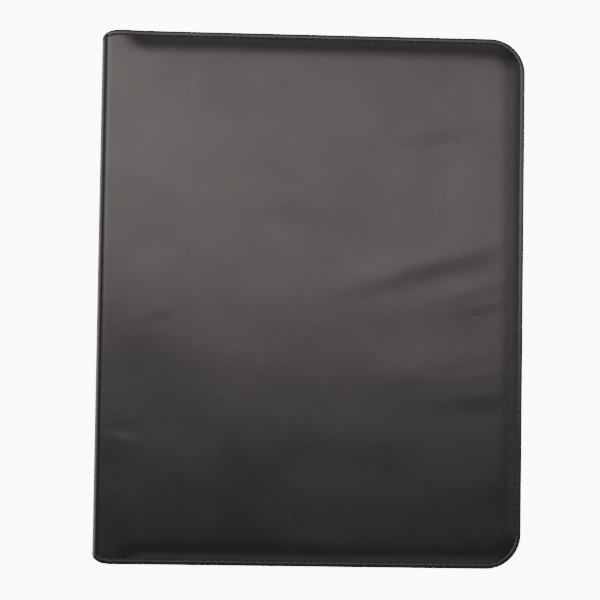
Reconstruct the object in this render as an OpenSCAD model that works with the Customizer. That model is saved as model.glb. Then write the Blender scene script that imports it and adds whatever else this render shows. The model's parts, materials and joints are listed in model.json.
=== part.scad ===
// Zippered padfolio, closed and lying on its back cover.
// X runs across the width: the spine is on the -X side, the fore edge on the +X side.
// Y runs along the height, and Z points up. The origin is the middle of the resting face.
// Both covers share one section: a turned-edge leatherette skin over foam and board,
// with the zip tape caught in its stitched margin. The front cover is the back cover's
// mirror image, and the zip closes the three free sides between them.

/* [Case] */
// Thickness of the closed case
case_t = 25; // [24:0.5:34]
// Distance from the fore edge to the writing pad
pad_fore_gap = 14; // [13.5:0.5:20]
// Distance from the head and the foot of the case to the writing pad
pad_end_gap = 25.5; // [19:0.5:40]
// Distance from the spine's outer face to the pen loop
loop_spine_gap = 14.6; // [13.6:0.1:24]
// Radius of the two corners at the fore edge
corner_r = 22; // [20:1:28]
// Outside radius of the folds between the spine and the covers
fold_r = 6; // [5:0.5:7]

/* [Cover layers] */
// Thickness of the leatherette
skin_t = 1; // [0.8:0.1:1.2]
// Thickness of a cover where it is padded
cover_t = 5; // [4.8:0.1:6]
// How far the stitched margin lies below the padded face
margin_drop = 2; // [1.6:0.1:2.2]
// Width of the flat stitched margin
margin_w = 4.6; // [4:0.2:6]
// Width of the slope from the margin up to the padded face
slope_w = 9; // [6:0.5:12]
// Length over which the margin rises to the padded face as it nears the spine
margin_fade = 18; // [12:1:30]
// Width of the hem turned in at the edge
hem_w = 8; // [7:0.5:9]
// Thickness of the hem
hem_t = 0.8; // [0.6:0.1:0.9]
// Thickness of the stiffening board
board_t = 1.9; // [1.5:0.1:2]
// Distance from the cover's edge to the board
board_inset = 9.5; // [9.2:0.1:12]
// Thickness of the lining
lining_t = 0.65; // [0.4:0.05:0.7]
// Gap between one layer and the next
layer_gap = 0.05; // [0.04:0.01:0.1]
// How far each end of the spine is cut back, along the spine
spine_corner_h = 5; // [2:0.5:8]
// How far the same cut reaches into the covers
spine_corner_w = 12; // [6:1:20]

/* [Spine] */
// Thickness of the spine's stiffening strip
spine_board_t = 1.2; // [0.8:0.1:1.2]

/* [Zip chain] */
// Distance from the cover's edge to the middle of the zip
zip_inset = 3.8; // [3.4:0.1:4.4]
// Thickness of the zip tape
tape_t = 0.5; // [0.3:0.05:0.6]
// Width of the tape's flange that is sewn into the margin, from the edge inwards
tape_flange_w = 9; // [6:0.5:9.1]
// How far the flange reaches from the tape's wall towards the edge
tape_seam_w = 2.2; // [1:0.1:2.4]
// Distance from the spine's outer face to the ends of the tapes
tape_start = 12; // [10:1:30]
// Distance from the spine's outer face to the first teeth
teeth_start = 26; // [24:1:60]
// Distance from one tooth to the next in a row
tooth_pitch = 3; // [2.8:0.1:4]
// Thickness of the teeth
tooth_t = 2.2; // [1.8:0.1:2.4]
// How far the teeth of one row reach past the middle of the chain
tooth_mesh = 0.9; // [0.6:0.1:1]
// Clearance between teeth that mesh
tooth_gap = 0.15; // [0.1:0.01:0.2]
// Widening of a tooth from its root to its head, for each millimetre of height
tooth_flare = 0.15; // [0:0.01:0.16]
// Height of the cord that carries a row of teeth
cord_h = 1; // [0.8:0.1:1.2]
// Half the width of the closed chain
chain_half = 2.8; // [2.6:0.1:3]
// Length of the stops at the ends of the rows
stop_l = 3.5; // [3:0.5:5]

/* [Sliders] */
// Where the two sliders meet along the fore edge
meeting_y = 6; // [-30:1:30]
// Length of a slider
slider_l = 11; // [10.5:0.1:12]
// Half the gap between the noses of the two sliders
nose_gap = 0.4; // [0.3:0.1:1]
// Thickness of a slider's plates and lips
slider_wall = 0.9; // [0.7:0.1:1]
// Clearance between the slider and the chain
slider_gap = 0.3; // [0.25:0.01:0.35]
// Clearance between the slider's lips and the tape
tape_gap = 0.4; // [0.3:0.05:0.5]
// How far each row is spread by the slider's wedge
spread = 2.2; // [2:0.05:2.4]
// Width of the bridge that carries the pull
bridge_w = 1.6; // [1.2:0.1:2]
// Thickness of the bridge
bridge_t = 0.8; // [0.6:0.1:1]
// Clearance round the pull's bar
pull_gap = 0.15; // [0.1:0.01:0.2]
// Thickness of the pull and of its round bar
pull_t = 1; // [0.8:0.1:1.2]
// Length of the pull from its bar to its tip
pull_l = 26; // [20:1:30]
// Width of the pull at its eye
pull_w = 5.5; // [5:0.1:7]
// Width of the pull near its tip
pull_tip_w = 4.4; // [4:0.1:6]
// Width of the two arms beside the eye
pull_arm_w = 1.5; // [1:0.1:1.6]

/* [Writing pad] */
// Width of the pad's sheets
pad_w = 216; // [200:1:216]
// Height of the pad's sheets
pad_h = 279; // [260:1:280]
// Thickness of the stack of sheets
sheets_t = 5; // [2:0.5:5]
// Thickness of the pad's backing board
backing_t = 0.8; // [0.5:0.1:1]
// Depth of the binding strip at the head of the pad
binding_w = 12; // [8:1:15]
// Thickness of the binding strip
binding_t = 0.25; // [0.2:0.05:0.3]

/* [Pockets] */
// Thickness of the pocket panels
panel_t = 0.6; // [0.4:0.05:0.6]
// Clearance between a pocket and what lies in it or behind it
pocket_gap = 0.3; // [0.2:0.05:0.35]
// Width of the sewn border of a pocket
border_w = 4; // [3:0.5:4]
// Height of the folded hem along a pocket's mouth
mouth_w = 7; // [4:0.5:10]
// Height of the document pocket
document_h = 180; // [140:1:182]
// Room inside the document pocket
document_room = 1.2; // [0.5:0.1:1.4]
// Width of the card pockets
card_w = 106; // [96:1:110]
// Height of the lowest card pocket
card_h = 48; // [40:1:50]
// How far each card pocket rises above the one before it
card_step = 18; // [12:1:20]
// Number of card pockets
card_count = 3; // [3:1:3]
// Distance between the document pocket and the card pockets
card_clear = 10; // [6:1:16]

/* [Pen loop] */
// Inside width of the loop
loop_w = 11; // [10:0.5:12]
// Inside height of the loop
loop_h = 8; // [7:0.5:8.5]
// Length of the loop along the pen
loop_l = 22; // [15:1:30]
// Thickness of the elastic
elastic_t = 0.9; // [0.7:0.1:1.1]
// How far the loop's sewn foot reaches beyond it on each side
loop_foot = 1; // [0.5:0.1:1.5]
// Height of the loop's middle above the middle of the case
loop_y = 40; // [-100:1:100]

/* [Hidden] */

$fn = 48;

// The case is sized round the pad: beside it lie the pocket's border and the pen loop
loop_foot_w = loop_w + 2 * elastic_t + 2 * loop_foot;
case_w = loop_spine_gap + loop_foot_w + 2 * pocket_gap + border_w + pad_w + pad_fore_gap;
case_h = pad_h + 2 * pad_end_gap;

// Places in plan
spine_x = -case_w / 2;
fore_x = case_w / 2;
fold_x = spine_x + fold_r;
half_h = case_h / 2;
corner_x = fore_x - corner_r;
corner_y = half_h - corner_r;

// Heights in the back cover, counted up from the resting face
margin_z = margin_drop;
slope_end = margin_w + slope_w + layer_gap;
hem_top_z = margin_z + skin_t + hem_t;
flange_z = hem_top_z + layer_gap;
flange_t = cover_t - lining_t - layer_gap - flange_z;
lining_z = cover_t - lining_t;
board_z = lining_z - layer_gap - board_t;
board_fold_gap = 3;
board_start_x = fold_x + board_fold_gap;
lining_fold_gap = 0.5;
lining_start_x = fold_x + lining_fold_gap;
lining_gap = 0.3;
half_fold = 45;
half_fold_steps = 4;

// Zip chain
mid_z = case_t / 2;
chain_x = fore_x - zip_inset;
chain_y = half_h - zip_inset;
chain_r = corner_r - zip_inset;
tape_start_x = spine_x + tape_start;
teeth_start_x = spine_x + teeth_start;
cord_z = mid_z - chain_half;
root_z = cord_z + cord_h;
tip_z = mid_z + tooth_mesh;
fore_teeth = floor(2 * corner_y / tooth_pitch);
fore_pitch = 2 * corner_y / fore_teeth;
corner_teeth = floor(chain_r * PI / 2 / tooth_pitch);
corner_step = 90 / corner_teeth;
end_teeth = floor((corner_x - teeth_start_x) / tooth_pitch);
head_chamfer = 0.3;
corner_tooth_t = tooth_t - 0.2;
tooth_sink = 0.2;

// Sliders
channel_half = chain_half + slider_gap + slider_wall;
plate_in = tooth_t / 2 + slider_gap;
plate_out = plate_in + slider_wall;
lip_in = tape_t / 2 + tape_gap;
wedge_gap = 0.45;
wedge_min = 0.1;
spread_flat = 1.2;
tail_flat = 0.8;
spread_run = slider_l - spread_flat - tail_flat;
pull_axis_x = chain_x + plate_out + pull_gap + pull_t / 2;
pull_axis_at = nose_gap + 3;
bridge_under = plate_out + 2 * pull_gap + pull_t;
bridge_back = 8.4;
bar_relief = 0.05;
eye_room = 1.2;

// Writing pad and pockets
pad_x1 = fore_x - pad_fore_gap;
pad_x0 = pad_x1 - pad_w;
pad_y1 = pad_h / 2;
backing_z = cover_t + pocket_gap;
panel_z = backing_z + backing_t + pocket_gap;
sheets_z = panel_z + panel_t + pocket_gap;
sheets_top = sheets_z + sheets_t;
document_y0 = -half_h + 15;
card_y0 = document_y0 + document_h + card_clear;
card_x1 = pad_x1;
binding_clear = 2;
mouth_rise = 0.25;

// ---------------------------------------------------------------- profiles

// Height of a cover's outer face above its resting plane, u inwards from the edge
function face_z(u) =
    u <= margin_w ? margin_drop :
    u >= margin_w + slope_w ? 0 :
    margin_drop * (1 + cos(180 * (u - margin_w) / slope_w)) / 2;

slope_steps = 6;
slope_u = [for (i = [0:slope_steps]) margin_w + slope_w * i / slope_steps];
edge_r = (skin_t + hem_t) / 2;
edge_steps = 6;

// The rounded edge, from the hem round to the outer face, as [u, z] points
edge_round = [for (i = [0:edge_steps])
    let (a = 90 - 180 * i / edge_steps)
    [edge_r * (1 - cos(a)), margin_z + edge_r + edge_r * sin(a)]];

// Outer and inner lines of the skin's section, both from the hem to the flat face
skin_outer = concat([[hem_w, hem_top_z]], edge_round,
                    [for (u = slope_u) [u, face_z(u)]]);
skin_inner = concat([[hem_w, margin_z + skin_t]],
                    [for (u = slope_u) [u, face_z(u) + skin_t]]);

// Lines of the foam's section: the face under the skin and the face on the board
foam_start = margin_w + slope_w / 4;
foam_outer = concat([[foam_start, face_z(foam_start) + skin_t + layer_gap]],
                    [for (u = slope_u) if (u > foam_start + 0.1)
                        [u, face_z(u) + skin_t + layer_gap]]);
foam_inner = [[foam_start, margin_z + skin_t - layer_gap],
              [board_inset - 2 * layer_gap, margin_z + skin_t - layer_gap],
              [board_inset - 2 * layer_gap, board_z - layer_gap]];

function reverse(list) = [for (i = [len(list) - 1:-1:0]) list[i]];

function flatten(lists) = [for (l = lists) for (p = l) p];

// How far the outline is drawn in at the two ends of the spine: an elliptical corner
function corner_drop(x) =
    let (s = (x - spine_x) / spine_corner_w)
    s >= 1 ? 0 : spine_corner_h * (1 - sqrt(1 - pow(1 - s, 2)));

// The section is carried round the cover on stations: [centre x, centre y, angle]
corner_steps = 9;
fade_steps = 6;
fade_end_x = max(spine_x + spine_corner_w, fold_x + margin_fade);

function head_stations(start_x) = concat(
    [for (i = [0:fade_steps])
        let (x = start_x + (fade_end_x - start_x) * i / fade_steps)
        [x, corner_y - corner_drop(x), 90]],
    [for (i = [0:corner_steps]) [corner_x, corner_y, 90 - 90 * i / corner_steps]]);

function stations(start_x) = let (head = head_stations(start_x))
    concat(head, [for (s = reverse(head)) [s[0], -s[1], -s[2]]]);

// A section's point [u, z] at a station of the cover
function placed(s, p) = [s[0] + (corner_r - p[0]) * cos(s[2]),
                         s[1] + (corner_r - p[0]) * sin(s[2]), p[1]];

// A section's point at the place x: near the fold the margin isn't stepped back
function eased(p, x) =
    let (s = min(max((x - fold_x) / margin_fade, 0), 1))
    [p[0], p[1] - (1 - s * s * (3 - 2 * s)) * face_z(p[0])];

// The whole section from head to foot, at the angle a of the fold round the spine's edge
function fold_ring(strip, a) =
    let (edge = half_h - corner_drop(fold_x + fold_r * cos(a)),
         head = [for (p = strip) let (r = fold_r - eased(p, fold_x)[1])
                 [fold_x + r * cos(a), edge - p[0], fold_r + r * sin(a)]])
    concat(reverse(head), [for (q = head) [q[0], -q[1], q[2]]]);

// Triangles over the end of a ring, made of a section at the head and one at the foot. The
// two lines of a section are joined at pairs of points, and past these by a fan
function ring_end(n, pairs) =
    let (fan_from = pairs - 1,
         section = concat(
             flatten([for (k = [0:1:pairs - 2])
                 two_triangles(k, k + 1, n - 2 - k, n - 1 - k)]),
             [for (i = [pairs:n - 1 - pairs]) [fan_from, i, i + 1]]))
    concat(two_triangles(0, n - 1, n, 2 * n - 1),
           [for (t = section) [for (i = t) n + i]],
           [for (t = section) [for (i = reverse(t)) n - 1 - i]]);

// Two triangles for the four-sided face a, b, c, d
function two_triangles(a, b, c, d) = [[a, b, c], [a, c, d]];

// Side faces of a tube of rings, whose points start at the index first
function tube_faces(first, rings, size) = flatten([for (k = [0:rings - 2], i = [0:size - 1])
    let (a = first + k * size + i, b = first + k * size + (i + 1) % size)
    two_triangles(b + size, a + size, a, b)]);

// ---------------------------------------------------------------- helpers

// The front cover's pieces are the back cover's, turned over
module at_front() {
    translate([0, 0, case_t]) mirror([0, 0, 1]) children();
}

// Head and foot of the case alike
module both_ends() {
    children();
    mirror([0, 1, 0]) children();
}

// An edge section swept along the head, the fore edge and the foot, with its round corners
module swept_edge(section, start_x) {
    both_ends() {
        translate([start_x, half_h, 0]) rotate([90, 0, 90])
            linear_extrude(corner_x - start_x) polygon([for (p = section) [-p[0], p[1]]]);
        translate([corner_x, corner_y, 0])
            rotate_extrude(angle = 90) polygon([for (p = section) [corner_r - p[0], p[1]]]);
    }
    translate([fore_x, corner_y, 0]) rotate([90, 0, 0])
        linear_extrude(2 * corner_y) polygon([for (p = section) [-p[0], p[1]]]);
}

// A soft layer of a cover. Its edge section, made of an outer and an inner line, runs round
// the three free sides, the middle is flat, and at the spine it ends in half of a fold
module cover_layer(outer, inner, start_x, fold_steps, pairs) {
    strip = concat(reverse(inner), outer);
    n = len(strip);
    places = stations(start_x);
    last = len(places) - 1;
    end_ring = concat([for (i = [n - 1:-1:0]) i], [for (i = [0:n - 1]) last * n + i]);
    fold_from = len(places) * n;
    fold_rings = [for (k = [1:1:fold_steps]) fold_ring(strip, 270 - half_fold * k / fold_steps)];
    first_fold = flatten([for (i = [0:2 * n - 1])
        let (j = (i + 1) % (2 * n))
        two_triangles(fold_from + j, fold_from + i, end_ring[i], end_ring[j])]);
    cap_from = fold_from + (fold_steps - 1) * 2 * n;
    polyhedron(
        points = concat(flatten([for (s = places) [for (p = strip)
                            placed(s, fold_steps > 0 ? eased(p, s[0]) : p)]]),
                        flatten(fold_rings)),
        faces = concat(
            flatten([for (k = [0:last - 1], i = [0:n - 2])
                two_triangles(k * n + i, k * n + i + 1, (k + 1) * n + i + 1, (k + 1) * n + i)]),
            [[for (k = [last:-1:0]) k * n + n - 1]],
            [[for (k = [0:last]) k * n]],
            fold_steps == 0 ? [for (t = ring_end(n, pairs)) [for (i = t) end_ring[i]]] :
                concat(first_fold, tube_faces(fold_from, fold_steps, 2 * n),
                       [for (t = ring_end(n, pairs)) [for (i = t) cap_from + i]])));
}

// Flat outline of a cover, drawn in from its edge
module cover_plan(inset, start_x) {
    translate([start_x, inset - half_h]) square([corner_x - start_x, case_h - 2 * inset]);
    translate([corner_x, -corner_y]) square([corner_r - inset, 2 * corner_y]);
    for (side = [-1, 1])
        translate([corner_x, side * corner_y]) circle(corner_r - inset);
}

// ---------------------------------------------------------------- cover pieces

module cover_skin() {
    cover_layer(skin_outer, skin_inner, fold_x, half_fold_steps, len(slope_u));
}

module cover_foam() { cover_layer(foam_outer, foam_inner, board_start_x, 0, 1); }

module cover_board() {
    translate([0, 0, board_z]) linear_extrude(board_t) cover_plan(board_inset, board_start_x);
}

module cover_lining() {
    translate([0, 0, lining_z]) linear_extrude(lining_t)
        cover_plan(zip_inset + tape_t / 2 + tape_gap, lining_start_x);
}

// ---------------------------------------------------------------- spine

// The leatherette over the spine, with the other half of the fold at each side
module spine_skin() {
    strip = concat(reverse(skin_inner), skin_outer);
    size = 2 * len(strip);
    back = [for (k = [0:half_fold_steps])
        fold_ring(strip, 270 - half_fold * (1 + k / half_fold_steps))];
    front = [for (ring = reverse(back)) [for (p = ring) [p[0], p[1], case_t - p[2]]]];
    rings = concat(back, front);
    top = (len(rings) - 1) * size;
    cap = ring_end(len(strip), len(slope_u));
    color(leather) polyhedron(
        points = flatten(rings),
        faces = concat([for (t = cap) reverse(t)], tube_faces(0, len(rings), size),
                       [for (t = cap) [for (i = t) top + i]]));
}

module spine_board() {
    inset = slope_end + spine_corner_h;
    color(board_grey)
        translate([spine_x + skin_t + layer_gap, -half_h + inset, fold_r])
            cube([spine_board_t, case_h - 2 * inset, case_t - 2 * fold_r]);
}

module spine_lining() {
    inset = board_inset + spine_corner_h;
    color(lining_black)
        translate([spine_x + skin_t + spine_board_t + 2 * layer_gap,
                   -half_h + inset, cover_t + lining_gap])
            cube([lining_t, case_h - 2 * inset, case_t - 2 * (cover_t + lining_gap)]);
}

// ---------------------------------------------------------------- zip

// How far a row is spread at the place y of the fore edge
function spread_at(y) =
    let (s = (abs(y - meeting_y) - spread_flat) / spread_run)
    s <= 0 ? spread : s >= 1 ? 0 : spread * (1 + cos(180 * s)) / 2;

spread_steps = 24;
spread_reach = spread_flat + spread_run;
spread_ys = [for (i = [-spread_steps:spread_steps]) meeting_y + spread_reach * i / spread_steps];

// The tape: a flange sewn into the margin, and a wall that stands up to the chain
module tape() {
    wall_out = zip_inset - tape_t / 2;
    wall_in = zip_inset + tape_t / 2;
    flange_out = wall_out - tape_seam_w;
    flange_top = flange_z + flange_t;
    wall_top = cord_z - layer_gap;
    difference() {
        swept_edge([[flange_out, flange_z], [tape_flange_w, flange_z],
                    [tape_flange_w, flange_top], [wall_in, flange_top], [wall_in, wall_top],
                    [wall_out, wall_top], [wall_out, flange_top], [flange_out, flange_top]],
                   tape_start_x);
        translate([chain_x - tape_t, 0, 0]) rotate([90, 0, 90])
            linear_extrude(2 * tape_t)
                polygon(concat([for (y = spread_ys) [y, wall_top - spread_at(y)]],
                               [[meeting_y + spread_reach, wall_top + 1],
                                [meeting_y - spread_reach, wall_top + 1]]));
    }
}

function tooth_half(z) = tooth_pitch / 4 - tooth_gap / 2 + tooth_flare * (z - mid_z) / 2;

// Outline of one tooth about its own middle line, from the cord to the tip and back
function tooth_outline(at, drop) = [
    [at - tooth_half(root_z), root_z - drop],
    [at - tooth_half(tip_z), tip_z - head_chamfer - drop],
    [at - tooth_half(tip_z) + head_chamfer, tip_z - drop],
    [at + tooth_half(tip_z) - head_chamfer, tip_z - drop],
    [at + tooth_half(tip_z), tip_z - head_chamfer - drop],
    [at + tooth_half(root_z), root_z - drop]];

// A straight comb of teeth and the moulded strip that joins them
module comb(places, from, to, edge_points, drops) {
    rotate([90, 0, 90]) translate([0, 0, -tooth_t / 2]) linear_extrude(tooth_t)
        polygon(concat([[from, root_z - spread_drop(from, drops)]],
                       flatten([for (at = places) tooth_outline(at, spread_drop(at, drops))]),
                       [[to, root_z - spread_drop(to, drops)]],
                       reverse(edge_points)));
}

function spread_drop(y, drops) = drops ? spread_at(y) : 0;

// One side of the strip that carries the teeth round a corner
function cord_arc(r) =
    [for (i = [0:corner_teeth]) [r * cos(corner_step * i), r * sin(corner_step * i)]];

// A row of teeth, with its teeth half a pitch along where shift is 1
module teeth_row(shift) {
    fore_places = [for (i = [shift:fore_teeth - 1])
        -corner_y + fore_pitch * (i + (1 - shift) / 2)];
    end_places = [for (i = [shift:end_teeth - 1])
        corner_x - tooth_pitch * (i + (1 - shift) / 2)];
    end_low = corner_x - tooth_pitch * end_teeth;
    translate([chain_x, 0, 0])
        comb(fore_places, -corner_y, corner_y,
             concat([[-corner_y, cord_z]],
                    [for (y = spread_ys) [y, cord_z - spread_at(y)]],
                    [[corner_y, cord_z]]), true);
    both_ends() {
        translate([0, chain_y, 0]) rotate([0, 0, -90])
            comb(reverse(end_places), end_low, corner_x,
                 [[end_low, cord_z], [corner_x, cord_z]], false);
        translate([corner_x, corner_y, 0]) {
            translate([0, 0, cord_z]) linear_extrude(cord_h)
                polygon(concat(cord_arc(chain_r + tooth_t / 2),
                               reverse(cord_arc(chain_r - tooth_t / 2))));
            rotate(corner_step * (1 - shift) / 2) for (i = [0:corner_teeth - 1 + shift])
                rotate(corner_step * i) corner_tooth();
        }
    }
}

// One tooth of a corner, let into the strip
module corner_tooth() {
    base = root_z - tooth_sink;
    translate([chain_r - corner_tooth_t / 2, 0, 0]) rotate([90, 0, 90])
        linear_extrude(corner_tooth_t)
            polygon(concat([[-tooth_half(root_z), base]], tooth_outline(0, 0),
                           [[tooth_half(root_z), base]]));
}

// The stops that end a row, one at the head and one at the foot
module stops() {
    stop_x = corner_x - tooth_pitch * (end_teeth + 1) - stop_l;
    both_ends()
        translate([stop_x, chain_y - tooth_t / 2, cord_z])
            cube([stop_l, tooth_t, chain_half - pocket_gap / 2]);
}

// ---------------------------------------------------------------- sliders

// Points along a slider's side: distance from the meeting place, and half width there
slider_steps = 10;
function slider_side(extra) = [for (i = [0:slider_steps])
    let (t = nose_gap + slider_l * i / slider_steps)
    [t, channel_half + spread_at(meeting_y + t) + extra]];

function closed_side(points) = concat(points, [for (p = reverse(points)) [p[0], -p[1]]]);

// A slider for the rows beyond the meeting place: y runs from its nose to its tail
module slider_body() {
    wedge = [for (p = slider_side(0)) let (half = p[1] - channel_half - tooth_mesh - wedge_gap)
        if (half > wedge_min) [p[0], half]];
    lip = concat(slider_side(0), reverse(slider_side(-slider_wall)));
    rotate([90, 0, 90]) {
        for (low = [-plate_out, plate_in])
            translate([0, 0, low]) linear_extrude(slider_wall) polygon(closed_side(slider_side(0)));
        for (low = [-plate_in, lip_in], side = [-1, 1])
            translate([0, 0, low]) linear_extrude(plate_in - lip_in)
                polygon([for (p = lip) [p[0], side * p[1]]]);
        translate([0, 0, -plate_in]) linear_extrude(2 * plate_in) polygon(closed_side(wedge));
    }
    bridge();
}

// The bridge on the outer plate, under which the pull's bar turns
module bridge() {
    front = pull_axis_at - pull_t / 2 - pull_gap;
    back = pull_axis_at + pull_t / 2 + pull_gap;
    top = bridge_under + bridge_t;
    foot = plate_out - slider_wall / 4;
    translate([0, 0, -bridge_w / 2]) linear_extrude(bridge_w)
        polygon([[foot, front - 1.5 * bridge_t], [bridge_under, front - bridge_t],
                 [top, front - bridge_t / 4], [top, back + bridge_t / 2],
                 [plate_out + bridge_t, bridge_back], [foot, bridge_back],
                 [foot, bridge_back - 2 * bridge_t], [bridge_under, back],
                 [bridge_under, front], [foot, front]]);
}

// A pull: a round bar under the bridge, two arms beside it, and a tapered tab
module pull() {
    eye_end = bridge_back - pull_axis_at + eye_room;
    eye_half = pull_w / 2 - pull_arm_w;
    tip_r = pull_tip_w / 2;
    tip_steps = 10;
    tip = [for (i = [0:tip_steps]) let (a = 180 * i / tip_steps - 90)
        [pull_l - tip_r + tip_r * cos(a), tip_r * sin(a)]];
    translate([0, 0, bar_relief - pull_w / 2])
        cylinder(h = pull_w - 2 * bar_relief, r = pull_t / 2 - bar_relief);
    translate([-pull_t / 2, 0, 0]) rotate([90, 0, 90]) linear_extrude(pull_t)
        polygon(concat([[0, eye_half], [eye_end, eye_half], [eye_end, -eye_half],
                        [0, -eye_half], [0, -pull_w / 2]],
                       tip, [[0, pull_w / 2]]));
}

// Puts a slider or pull at the meeting place, facing up the fore edge or down it
module at_meeting(direction) {
    translate([0, meeting_y, mid_z]) mirror([0, direction < 0 ? 1 : 0, 0]) children();
}

// ---------------------------------------------------------------- writing pad

module pad_backing() {
    color([0.62, 0.56, 0.46]) translate([pad_x0, -pad_y1, backing_z])
        cube([pad_w, pad_h, backing_t]);
}

module pad_sheets() {
    color([0.95, 0.95, 0.92]) translate([pad_x0, -pad_y1, sheets_z])
        cube([pad_w, pad_h, sheets_t]);
}

// Binding strip: over the head of the pad, with the glued head between backing and sheets
module pad_binding() {
    low = backing_z;
    back_top = backing_z + backing_t + layer_gap;
    front_low = sheets_z - layer_gap;
    head = pad_y1 + layer_gap;
    top = sheets_top + layer_gap;
    foot = pad_y1 - binding_w;
    color([0.9, 0.89, 0.85]) translate([pad_x0, 0, 0]) rotate([90, 0, 90])
        linear_extrude(pad_w)
            polygon([[head + binding_t, low], [head + binding_t, top + binding_t],
                     [foot, top + binding_t], [foot, top], [head, top], [head, front_low],
                     [foot, front_low], [foot, back_top], [head, back_top], [head, low]]);
}

// ---------------------------------------------------------------- pockets

// A pocket sewn down on three sides and open at the top: size of its outside, the
// height of its panel above the sheet it is sewn to, and a folded hem along its mouth
module pocket(w, h, rise) {
    translate([0, 0, rise]) cube([w, h, panel_t]);
    for (x = [0, w - border_w])
        translate([x, 0, 0]) cube([border_w, h, rise + panel_t / 2]);
    cube([w, border_w, rise + panel_t / 2]);
    translate([0, h - mouth_w, rise + panel_t / 2])
        cube([w, mouth_w, panel_t / 2 + mouth_rise]);
}

module pad_pocket() {
    side = border_w + pocket_gap;
    low = cover_t + layer_gap;
    color([0.13, 0.13, 0.13]) translate([pad_x0 - side, -pad_y1 - side, low])
        pocket(pad_w + 2 * side, pad_h + side - binding_w - binding_clear, panel_z - low);
}

module document_pocket() {
    color([0.13, 0.13, 0.13]) at_front()
        translate([pad_x0, document_y0, cover_t + layer_gap])
            pocket(pad_w, document_h, document_room);
}

// Card pockets in a stack: each lies on the one before it and is one step lower
module card_pocket(index) {
    level = index * (panel_t + 2 * pocket_gap);
    color([0.15, 0.15, 0.15]) at_front()
        translate([card_x1 - card_w, card_y0, cover_t + layer_gap + level])
            pocket(card_w, card_h + card_step * (card_count - 1 - index), pocket_gap);
}

// ---------------------------------------------------------------- pen loop

// Outline of the loop seen along the pen: a flat oval
module oval(w, h) {
    translate([-(w - h) / 2, 0]) circle(h / 2);
    translate([(w - h) / 2, 0]) circle(h / 2);
    square([w - h, h], center = true);
}

module pen_loop() {
    low = cover_t + layer_gap;
    middle = spine_x + loop_spine_gap + loop_foot_w / 2;
    color([0.1, 0.1, 0.1]) translate([middle, loop_y + loop_l / 2, low])
        rotate([90, 0, 0]) linear_extrude(loop_l) {
            difference() {
                translate([0, loop_h / 2 + elastic_t])
                    oval(loop_w + 2 * elastic_t, loop_h + 2 * elastic_t);
                translate([0, loop_h / 2 + elastic_t]) oval(loop_w, loop_h);
            }
            translate([-loop_foot_w / 2, 0]) square([loop_foot_w, elastic_t]);
        }
}

// ---------------------------------------------------------------- the pieces

leather = [0.12, 0.12, 0.12];
foam_grey = [0.45, 0.45, 0.47];
board_grey = [0.6, 0.55, 0.48];
lining_black = [0.16, 0.16, 0.17];
tape_black = [0.08, 0.08, 0.08];
teeth_black = [0.05, 0.05, 0.05];
metal_black = [0.2, 0.2, 0.21];

module back_skin() { color(leather) cover_skin(); }
module back_foam() { color(foam_grey) cover_foam(); }
module back_board() { color(board_grey) cover_board(); }
module back_lining() { color(lining_black) cover_lining(); }
module back_zip_tape() { color(tape_black) tape(); }
module back_zip_teeth() { color(teeth_black) teeth_row(0); }
module back_zip_stops() { color(teeth_black) stops(); }
module front_skin() { color(leather) at_front() cover_skin(); }
module front_foam() { color(foam_grey) at_front() cover_foam(); }
module front_board() { color(board_grey) at_front() cover_board(); }
module front_lining() { color(lining_black) at_front() cover_lining(); }
module front_zip_tape() { color(tape_black) at_front() tape(); }
module front_zip_teeth() { color(teeth_black) at_front() teeth_row(1); }
module front_zip_stops() { color(teeth_black) at_front() stops(); }
module card_pocket_1() { card_pocket(0); }
module card_pocket_2() { card_pocket(1); }
module card_pocket_3() { card_pocket(2); }

module slider_upper() {
    color(metal_black) at_meeting(1) translate([chain_x, 0, 0]) slider_body();
}
module slider_lower() {
    color(metal_black) at_meeting(-1) translate([chain_x, 0, 0]) slider_body();
}
module pull_upper() {
    color(metal_black) at_meeting(1) translate([pull_axis_x, pull_axis_at, 0]) pull();
}
module pull_lower() {
    color(metal_black) at_meeting(-1) translate([pull_axis_x, pull_axis_at, 0]) pull();
}

back_skin();
back_foam();
back_board();
back_lining();
back_zip_tape();
back_zip_teeth();
back_zip_stops();
pad_pocket();
pad_backing();
pad_sheets();
pad_binding();
pen_loop();
spine_skin();
spine_board();
spine_lining();
front_skin();
front_foam();
front_board();
front_lining();
front_zip_tape();
front_zip_teeth();
front_zip_stops();
document_pocket();
card_pocket_1();
card_pocket_2();
card_pocket_3();
slider_upper();
slider_lower();
pull_upper();
pull_lower();
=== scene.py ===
import json
import math

import bmesh
import bpy
import numpy as np
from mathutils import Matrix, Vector, noise

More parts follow.
